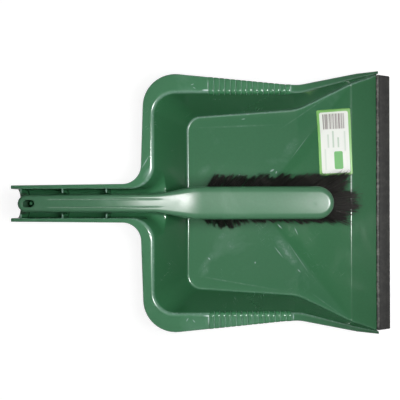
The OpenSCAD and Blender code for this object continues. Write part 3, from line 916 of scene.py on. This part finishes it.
# %% Node helpers
def feed(tree, node, inputs):
    """Gives a node its inputs. A socket of another node is linked, a value is set."""
    for key, value in inputs.items():
        if isinstance(value, bpy.types.NodeSocket):
            tree.links.new(value, node.inputs[key])
        else:
            node.inputs[key].default_value = value


def add(tree, kind, inputs=None, **settings):
    """Adds a node with its settings and its inputs."""
    node = tree.nodes.new(kind)
    for name, value in settings.items():
        setattr(node, name, value)
    feed(tree, node, inputs or {})
    return node


def sums(tree, operation, a, b=0.0, clamp=False):
    """The result of a sum of two numbers."""
    node = add(tree, "ShaderNodeMath", {0: a, 1: b}, operation=operation, use_clamp=clamp)
    return node.outputs[0]


def times(tree, a, b, clamp=False):
    """a times b."""
    return sums(tree, "MULTIPLY", a, b, clamp)


def most(tree, a, b):
    """The larger of a and b."""
    return sums(tree, "MAXIMUM", a, b)


def rise(tree, value, low, high, start=0.0, end=1.0):
    """Start where the value is at low, end where it is at high, and even between them."""
    inputs = {0: value, 1: low, 2: high, 3: start, 4: end}
    return add(tree, "ShaderNodeMapRange", inputs).outputs[0]


def noise(tree, vector, scale, detail=2.0, **inputs):
    """Clouds between 0 and 1. A larger scale gives smaller clouds."""
    inputs = {"Vector": vector, "Scale": scale, "Detail": detail, **inputs}
    return add(tree, "ShaderNodeTexNoise", inputs).outputs[0]


def blend(tree, share, a, b):
    """A colour that goes from a to b with the share."""
    return add(tree, "ShaderNodeMix", {"Factor": share, 6: a, 7: b}, data_type="RGBA").outputs[2]


def parts_of(tree, vector):
    """The three numbers of a vector."""
    return add(tree, "ShaderNodeSeparateXYZ", {0: vector}).outputs


def length_of(tree, vector):
    """The length of a vector."""
    return add(tree, "ShaderNodeVectorMath", {0: vector}, operation="LENGTH").outputs["Value"]


def new_group(name, inputs):
    """An empty shader group that gives one mask, its inputs, and a way to set the mask."""
    tree = bpy.data.node_groups.new(name, "ShaderNodeTree")
    for label, kind in inputs:
        tree.interface.new_socket(label, in_out="INPUT", socket_type=kind)
    tree.interface.new_socket("Mask", in_out="OUTPUT", socket_type="NodeSocketFloat")
    return tree, add(tree, "NodeGroupInput").outputs, add(tree, "NodeGroupOutput").inputs[0]


def place(tree, group, inputs):
    """Puts a group into a material, with its values, and gives its mask."""
    return add(tree, "ShaderNodeGroup", inputs, node_tree=group).outputs[0]


def measured_from(tree, vector, turn, size, middle=(0, 0, 0)):
    """Coordinates round a middle, turned, in which the size along each axis counts as 1."""
    inputs = {"Vector": vector, "Location": middle, "Rotation": turn, "Scale": size}
    return add(tree, "ShaderNodeMapping", inputs, vector_type="TEXTURE").outputs[0]


NUMBER, VECTOR = "NodeSocketFloat", "NodeSocketVector"

# %% Scratches
scratches, given, result = new_group(
    "scratches", [("Position", VECTOR), ("Turn", VECTOR), ("Size", VECTOR), ("Cover", NUMBER)])
local = measured_from(scratches, given["Position"], given["Turn"], given["Size"])
line = rise(scratches, noise(scratches, local, 1.0, 1.0), 0.68, 0.76)
patchy = noise(scratches, given["Position"], 22.0)
allowed = rise(scratches, patchy, given["Cover"], sums(scratches, "ADD", given["Cover"], 0.06))
scratches.links.new(times(scratches, line, allowed), result)

# %% Wear and painted highlights
wear_and_highlights, given, result = new_group(
    "wear_and_highlights", [("Position", VECTOR), ("Worn_or_lit", NUMBER), ("Scale", NUMBER), ("Even", NUMBER)])
specks = noise(wear_and_highlights, given["Position"], given["Scale"], 3.0, Roughness=0.65)
uneven = most(wear_and_highlights, rise(wear_and_highlights, specks, 0.42, 0.66), given["Even"])
wear_and_highlights.links.new(times(wear_and_highlights, given["Worn_or_lit"], uneven, clamp=True), result)

# %% Marks
mark, given, result = new_group(
    "mark", [("Position", VECTOR), ("Middle", VECTOR), ("Turn", VECTOR), ("Reach", VECTOR),
             ("Broken", NUMBER)])
local = measured_from(mark, given["Position"], given["Turn"], given["Reach"], given["Middle"])
within = sums(mark, "SUBTRACT", 1.0, length_of(mark, local), clamp=True)
breaks = rise(mark, noise(mark, given["Position"], 160.0, 4.0, Roughness=0.6), 0.4, 0.6)
whole = most(mark, breaks, sums(mark, "SUBTRACT", 1.0, given["Broken"]))
mark.links.new(times(mark, within, whole), result)

# %% Smears
smears, given, result = new_group(
    "smears", [("Position", VECTOR), ("Scale", NUMBER), ("Cover", NUMBER)])
wide = noise(smears, given["Position"], given["Scale"], 5.0, Roughness=0.6, Distortion=0.6)
cloud = rise(smears, wide, given["Cover"], sums(smears, "ADD", given["Cover"], 0.25))
smears.links.new(cloud, result)
print("groups", [g.name for g in bpy.data.node_groups])

# %% [markdown]
# Both plastics are dyed right through, so wear and scratches are a paler, rougher version of the
# same green. The same pale green is also painted as highlights on some rounded edges and creases,
# and as a thin painted sheen on the level floor behind the front creases. The pan comes from a
# polished mould and is the smoother one; the brush is satin, so a lamp shows on it as a broad
# sheen. The surroundings are white, and in a full gloss they would lie over the dark green as a
# pale veil, so every material here reflects little, and the lamps that draw the highlights are
# strong.

# %% Plastics
gloss_level, soft_gloss_level = 0.12, 0.06
# The painted sheen is a pale veil painted on level places behind the floor's front creases; this
# slope sets its edge.
sheen_edge_slant = 0.79                       # the haze's edge runs forwards by this for 1 mm sideways


def new_material(name, gloss=gloss_level):
    """A material, its node tree, its Principled shader and the Object coordinates."""
    material = bpy.data.materials.new(name)
    material.use_nodes = True
    tree = material.node_tree
    shader = tree.nodes["Principled BSDF"]
    feed(tree, shader, {"Specular IOR Level": gloss})
    return material, tree, shader, add(tree, "ShaderNodeTexCoord").outputs["Object"]


def worn_or_lit_places(tree, position, scale, even):
    """The pale marks that a piece carries at its points, from use and as painted highlights, broken
    up into specks.
    """
    worn_or_lit = add(tree, "ShaderNodeAttribute", attribute_name="worn_or_lit").outputs["Fac"]
    return place(tree, wear_and_highlights, {"Position": position, "Worn_or_lit": worn_or_lit, "Scale": scale, "Even": even})


def marked(tree, position, marks, broken):
    """The strongest of some marks. A mark is a soft ellipse: the place of its middle, half
    its length and width in mm, its turn in degrees, and its strength."""
    shade = 0.0
    for x, y, half_long, half_wide, turn, strength in marks:
        one = place(tree, mark, {
            "Position": position, "Middle": (x * MM, y * MM, 0), "Turn": (0, 0, np.radians(turn)),
            "Reach": (half_long * MM, half_wide * MM, 10), "Broken": broken})
        shade = most(tree, times(tree, one, strength), shade)
    return shade


def bumps(tree, height, strength, distance_mm):
    """The normal of a surface with small bumps of a height."""
    inputs = {"Height": height, "Strength": strength, "Distance": distance_mm * MM}
    return add(tree, "ShaderNodeBump", inputs).outputs[0]


def tint(colour, share):
    """A lighter or darker shade of a colour."""
    return [c * share for c in colour[:3]] + [1]


def plastic(name, colour, pale, rough, grain, scratch_cover, smear_cover, painted_sheen, scuffs_and_highlights, dust_and_highlights):
    """Moulded plastic: a green with slight clouds, pale marks of use, scratches in two directions,
    single scuff marks, dusty patches and a fine grain. Some of the pale marks are painted
    highlights on rounded edges and creases, and some dusty patches are painted reflections. The
    painted sheen is a thin pale veil on level places, on the handle's side of two lines that run
    along the floor's front creases, where the floor is painted as more brightly lit; smears make it
    stronger."""
    material, tree, shader, position = new_material(name)
    # Pale wear from the points' attribute; on the pan's rim edge, wall foot, ridge and plate tops
    # it is a painted highlight.
    rubbed_or_lit = worn_or_lit_places(tree, position, 260.0, 0.55)
    lines = sums(tree, "ADD", *[
        place(tree, scratches, {"Position": position, "Turn": (0, 0, np.radians(turn)),
                                "Size": size, "Cover": scratch_cover})
        for turn, size in ((-55, (0.016, 0.0005, 0.05)), (35, (0.01, 0.0005, 0.05)))], clamp=True)
    normal = add(tree, "ShaderNodeNewGeometry").outputs["Normal"]
    level = rise(tree, parts_of(tree, normal)[2], 0.7, 0.9)
    # Scuffs and dust on level places. Some scuffs are painted highlights on creases and edges, and
    # some dust patches are painted reflections.
    scuff_and_highlight_mask = times(tree, marked(tree, position, scuffs_and_highlights, 0.3), level)
    dust_and_highlight_mask = times(tree, marked(tree, position, dust_and_highlights, 0.6), level)
    smear_dust_highlight = place(tree, smears, {"Position": position, "Scale": 14.0, "Cover": smear_cover})
    smear_dust_highlight = most(tree, smear_dust_highlight, times(tree, dust_and_highlight_mask, 2.2))
    green = blend(tree, noise(tree, position, 6.0), tint(colour, 0.9), tint(colour, 1.1))
    green = blend(tree, noise(tree, position, 420.0), green, tint(colour, 1.16))

    # Painted sheen: level places on the handle's side of the front creases are painted paler, as if
    # more brightly lit; smears strengthen it.
    x, y = parts_of(tree, position)[:2]
    ahead = sums(tree, "SUBTRACT", x, times(tree, sums(tree, "ABSOLUTE", y), sheen_edge_slant))
    sheen_mask = rise(tree, ahead, (x_apex + 2) * MM, (x_apex - 3) * MM)
    sheen_mask = times(tree, sheen_mask, sums(tree, "ADD", times(tree, smear_dust_highlight, 0.14), painted_sheen))
    marks = most(tree, times(tree, lines, 0.35), scuff_and_highlight_mask)
    green = blend(tree, times(tree, sheen_mask, level), green, pale)
    green = blend(tree, marks, green, pale)
    green = blend(tree, times(tree, rubbed_or_lit, 0.7), green, pale)

    dulled = most(tree, times(tree, smear_dust_highlight, 0.35), most(tree, marks, rubbed_or_lit))
    fine = times(tree, noise(tree, position, 900.0), grain)
    height = sums(tree, "SUBTRACT", fine, times(tree, marks, 0.3))
    feed(tree, shader, {
        "Base Color": green, "Roughness": sums(tree, "ADD", times(tree, dulled, 0.5), rough),
        "Normal": bumps(tree, height, 0.35, 0.1)})
    return material


# %% [markdown]
# Gritty floors leave a pan scuffed and dusty. Noise alone looks the same everywhere, so the
# clearest scuffs and patches of dust are placed one by one. Some of these marks are painted light:
# thin pale lines on the floor's creases and band borders and at both ends of the grips are painted
# highlights, and several pale patches on the floor are painted reflections. Each line below is one
# mark as seen from above: the place of its middle, half its length and half its width in mm, its
# turn in degrees, and its strength. Marks show only where the plastic is nearly level.

# %% Scuffs, dust and painted highlights
# Floor marks: scuffs, and two long thin lines on the diagonal creases that are painted highlights.
floor_scuffs_and_highlights = [
    (104, -68, 26, 0.7, -56, 0.5), (80, -61, 10, 0.9, -52, 0.8), (101, -35, 6, 0.8, -66, 0.9),
    (-75.3, 44, 9, 0.8, 59, 0.9), (-72, 33, 10, 4, 52, 0.35), (72, 40, 3.4, 1.4, 30, 1.3),
    (77, 37.5, 2.2, 1.0, 70, 1.0), (31, 34, 2.6, 1.0, 50, 0.9), (81, -29, 5, 1.0, -47, 1.0),
    (-6, -69, 2.2, 1.0, -45, 1.6), (51, -74, 1.6, 1.2, 80, 0.9), (105, -84, 3, 1.0, -50, 1.2),
    (107, 70, 22, 0.6, 53, 0.5), (37, 104, 3, 1.0, 10, 0.8)]
# Grip marks: scuffs, and pale marks at the step where the grips start and at the fold where they
# end, which are painted highlights.
grip_scuffs_and_highlights = [
    (-11, 120.4, 4.5, 1.2, 0, 1.4), (-8.3, 126, 6, 0.8, 90, 0.6), (80, 122, 6, 1.1, 88, 0.9),
    (-11, -120.4, 4.5, 1.2, 0, 0.7), (-8.3, -125, 6, 0.9, 90, 0.9),
    (82.5, -122.5, 5, 1.1, 92, 0.9), (-25, 126.6, 2.2, 0.7, 20, 0.9),
    (-23, 123, 2.2, 0.6, -30, 0.8), (-31, -124.5, 2.6, 0.8, 60, 0.8),
    (-24, -126, 2.6, 0.8, -50, 0.8)]
# Dust patches; the long thin lines are painted highlights on the band's borders, and several
# patches on the floor are painted reflections.
pan_dust_and_highlights = [
    (-8, -72, 22, 5, 53, 0.7), (-11, -84, 10, 5, 57, 0.7), (11, -42, 7, 6, 20, 0.6),
    (20, -53, 12, 9, 60, 0.6), (90, -60, 26, 8, -55, 0.95), (95, -36, 16, 9, -50, 0.85),
    (95, 68, 16, 7, 55, 0.5), (-12, 40, 12, 6, 40, 0.3), (28, 95, 62, 1.4, 2, 0.5),
    (28, -99, 62, 1.4, -10, 0.5), (140, -126, 30, 1.2, -36, 0.5), (122, 118, 56, 1.2, 34, 0.5)]
brush_dust = [(108, 2, 9, 12, 0, 0.5)]
pan_plastic = plastic(
    "pan_plastic", (0.032, 0.134, 0.057, 1), (0.36, 0.47, 0.46, 1), rough=0.15, grain=0.15,
    scratch_cover=0.6, smear_cover=0.56, painted_sheen=0.045, scuffs_and_highlights=floor_scuffs_and_highlights + grip_scuffs_and_highlights,
    dust_and_highlights=pan_dust_and_highlights)
brush_plastic = plastic(
    "brush_plastic", (0.052, 0.142, 0.077, 1), (0.34, 0.45, 0.38, 1), rough=0.3, grain=0.7,
    scratch_cover=0.66, smear_cover=0.5, painted_sheen=0, scuffs_and_highlights=[], dust_and_highlights=brush_dust)
print(len(floor_scuffs_and_highlights + grip_scuffs_and_highlights), "scuffs and", len(pan_dust_and_highlights), "patches of dust on the pan")

# %% [markdown]
# The lip is soft black rubber that has gone grey where it rubs. The bristles are black, and
# a few have pale dusty tips. The staples are plain steel wire.

# %% Rubber, bristle and wire
def dull(name, colour, pale, rough, scale, height, gloss=gloss_level):
    """A plain dark stuff that turns pale where use has greyed it."""
    material, tree, shader, position = new_material(name, gloss)
    rubbed_or_lit = worn_or_lit_places(tree, position, scale, 0.1)
    dusty = place(tree, smears, {"Position": position, "Scale": 30.0, "Cover": 0.5})
    tone = blend(tree, times(tree, dusty, 0.12), colour, pale)
    feed(tree, shader, {
        "Base Color": blend(tree, times(tree, rubbed_or_lit, 0.8), tone, pale),
        "Roughness": sums(tree, "ADD", times(tree, dusty, 0.15), rough),
        "Normal": bumps(tree, noise(tree, position, 700.0, 3.0), height, 0.2)})
    return material


lip_rubber = dull("lip_rubber", (0.017, 0.017, 0.016, 1), (0.15, 0.15, 0.13, 1),
                  rough=0.55, scale=160.0, height=0.5)
bristle = dull("bristle", (0.026, 0.025, 0.023, 1), (0.4, 0.38, 0.34, 1),
               rough=0.6, scale=400.0, height=0.1, gloss=soft_gloss_level)

staple_wire, tree, shader, position = new_material("staple_wire")
drawn = add(tree, "ShaderNodeMapping", {"Vector": position, "Scale": (60, 900, 900)}).outputs[0]
drawn = noise(tree, drawn, 1.0)
steel = blend(tree, drawn, (0.5, 0.49, 0.46, 1), (0.75, 0.74, 0.71, 1))
steel_rough = sums(tree, "ADD", times(tree, drawn, 0.2), 0.25)
feed(tree, shader, {"Base Color": steel, "Roughness": steel_rough, "Metallic": 1})
print("rubber, bristle and wire ready")

# %% [markdown]
# The label is printed in flat areas: a light green border, a white panel, a block of bars
# near one end, plain rules and a green block. Each area is a box in the label's own flat
# coordinates. A plain box is the product of two strips, one along each edge, and a strip is
# one soft step less another. The panel and the block have round corners.

# %% Printed label
label_paper, tree, shader, position = new_material("label_paper")
flat_place = add(tree, "ShaderNodeUVMap", uv_map="sheet").outputs[0]
across_label, along_label = parts_of(tree, flat_place)[:2]


def step(value, at, soft=0.006):
    """0 below a place and 1 above it."""
    return rise(tree, value, at - soft, at + soft)


def box(x0, x1, y0, y1):
    """1 inside a box of the label."""
    one = sums(tree, "SUBTRACT", step(across_label, x0), step(across_label, x1))
    other = sums(tree, "SUBTRACT", step(along_label, y0), step(along_label, y1))
    return times(tree, one, other)


def panel(x0, x1, y0, y1, r):
    """1 inside a box with round corners of r mm. A point's distance from the box that the
    corners' middles span is found from how far it is past it along either edge."""
    past = []
    for value, low, high, size in ((across_label, x0, x1, label_size[0]),
                                   (along_label, y0, y1, label_size[1])):
        off = sums(tree, "ABSOLUTE", sums(tree, "SUBTRACT", value, (low + high) / 2))
        over = most(tree, sums(tree, "SUBTRACT", off, (high - low) / 2 - r / size), 0.0)
        past.append(times(tree, over, size))
    far = add(tree, "ShaderNodeCombineXYZ", {0: past[0], 1: past[1]}).outputs[0]
    return rise(tree, length_of(tree, far), r + 0.15, r - 0.15)


ink, grey, white = (0.2, 0.15, 0.15, 1), (0.45, 0.58, 0.45, 1), (0.86, 0.88, 0.83, 1)
light_green, mid_green = (0.25, 0.55, 0.16, 1), (0.14, 0.46, 0.13, 1)
printed = blend(tree, panel(0.075, 0.925, 0.032, 0.96, 2.5), light_green, white)
across_only = add(tree, "ShaderNodeCombineXYZ", {0: across_label}).outputs[0]
bars = step(noise(tree, across_only, 48.0, 0.0), 0.5, 0.03)
printed = blend(tree, times(tree, bars, box(0.16, 0.82, 0.7, 0.93)), printed, ink)

# Rules: the place across, the two ends along, and the strength
for at, low, high, strength in ((0.3, 0.42, 0.62, 0.5), (0.45, 0.42, 0.67, 0.75),
                                (0.6, 0.42, 0.57, 0.75), (0.8, 0.36, 0.66, 0.4),
                                (0.2, 0.08, 0.4, 0.3)):
    rule = times(tree, box(at - 0.025, at + 0.025, low, high), strength)
    printed = blend(tree, rule, printed, grey)
printed = blend(tree, panel(0.46, 0.72, 0.09, 0.36, 2), printed, mid_green)
feed(tree, shader, {"Base Color": printed, "Roughness": 0.35})
print("label printed")

# %% Give the finishes
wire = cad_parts["tuft_staples"]
wire.data.materials.clear()
finishes = [(pan_plastic, [pan, ribs, plates, peg]), (brush_plastic, [brush]),
            (lip_rubber, [lip]), (label_paper, [label]), (bristle, bristle_rows),
            (staple_wire, [wire])]
for finish, pieces in finishes:
    for piece in pieces:
        piece.data.materials.append(finish)
print(len(finishes), "finishes given")

# %% [markdown]
# ## Light and ground
# A small square lamp hangs over the bowl, nearer than the camera, so the floor is lit and the
# light falls off along the handle and down the steep walls. Two lamps show in the gloss
# alone: one far beyond the lip draws bright lines on rounded edges, and a narrow spot lamp
# puts a sheen on the top of the brush. The world is dim as a light. To the camera, in the
# gloss and through clear stuff, the world and the ground are white, and the ground still
# takes the set's shadow.

# %% Lamps
def lamp(name, kind, place_mm, aim_mm, power):
    """A lamp that shines from one place towards another."""
    data = bpy.data.lights.new(name, kind)
    data.energy = power
    piece = bpy.data.objects.new(name, data)
    piece.location = Vector(place_mm) * MM
    piece.rotation_euler = (Vector(aim_mm) - Vector(place_mm)).to_track_quat("-Z", "Y").to_euler()
    bpy.context.collection.objects.link(piece)
    return piece


key_lamp = lamp("key_lamp", "AREA", (45, 0, 510), (45, 0, 0), 2.35)
key_lamp.data.size = 160 * MM
key_lamp.visible_camera = False
key_lamp.visible_glossy = False

edge_lamp = lamp("edge_lamp", "AREA", (750, 0, 1500), (0, 0, 60), 100)
edge_lamp.data.size = 130 * MM
edge_lamp.visible_diffuse = False

sheen_lamp = lamp("sheen_lamp", "SPOT", (388, 110, 1500), (-66, 0, 95), 300)
sheen_lamp.data.color = (1, 0.93, 0.96)
sheen_lamp.data.spot_size = np.radians(7)
sheen_lamp.data.spot_blend = 1
sheen_lamp.data.shadow_soft_size = 60 * MM
sheen_lamp.visible_diffuse = False


def looking(tree):
    """1 for the rays that show things: from the camera, off gloss and through clear stuff.
    It is 0 for the rays that only gather light."""
    rays = add(tree, "ShaderNodeLightPath").outputs
    seen = most(tree, rays["Is Camera Ray"], rays["Is Glossy Ray"])
    return most(tree, seen, rays["Is Transmission Ray"])


world = bpy.data.worlds.new("studio")
bpy.context.scene.world = world
world.use_nodes = True
tree = world.node_tree
sky = tree.nodes["Background"]
sky_light, sky_seen = 0.09, 1.0
strength = rise(tree, looking(tree), 0.0, 1.0, sky_light, sky_seen)
feed(tree, sky, {"Color": (1, 1, 1, 1), "Strength": strength})

# %% Ground
ground_half, ground_z = 4000, -0.2
corners = np.array([[-1, -1, 0], [1, -1, 0], [1, 1, 0], [-1, 1, 0]]) * ground_half
ground_mesh = bpy.data.meshes.new("ground")
ground_mesh.from_pydata(((corners + [0, 0, ground_z]) * MM).tolist(), [], [(0, 1, 2, 3)])
ground = bpy.data.objects.new("ground", ground_mesh)
bpy.context.collection.objects.link(ground)
plain, tree, shader, position = new_material("ground")
feed(tree, shader, {
    "Base Color": (0.3, 0.3, 0.3, 1), "Roughness": 0.9, "Emission Color": (1, 1, 1, 1),
    "Emission Strength": times(tree, looking(tree), 0.88)})
ground_mesh.materials.append(plain)
print("lamps and ground ready")
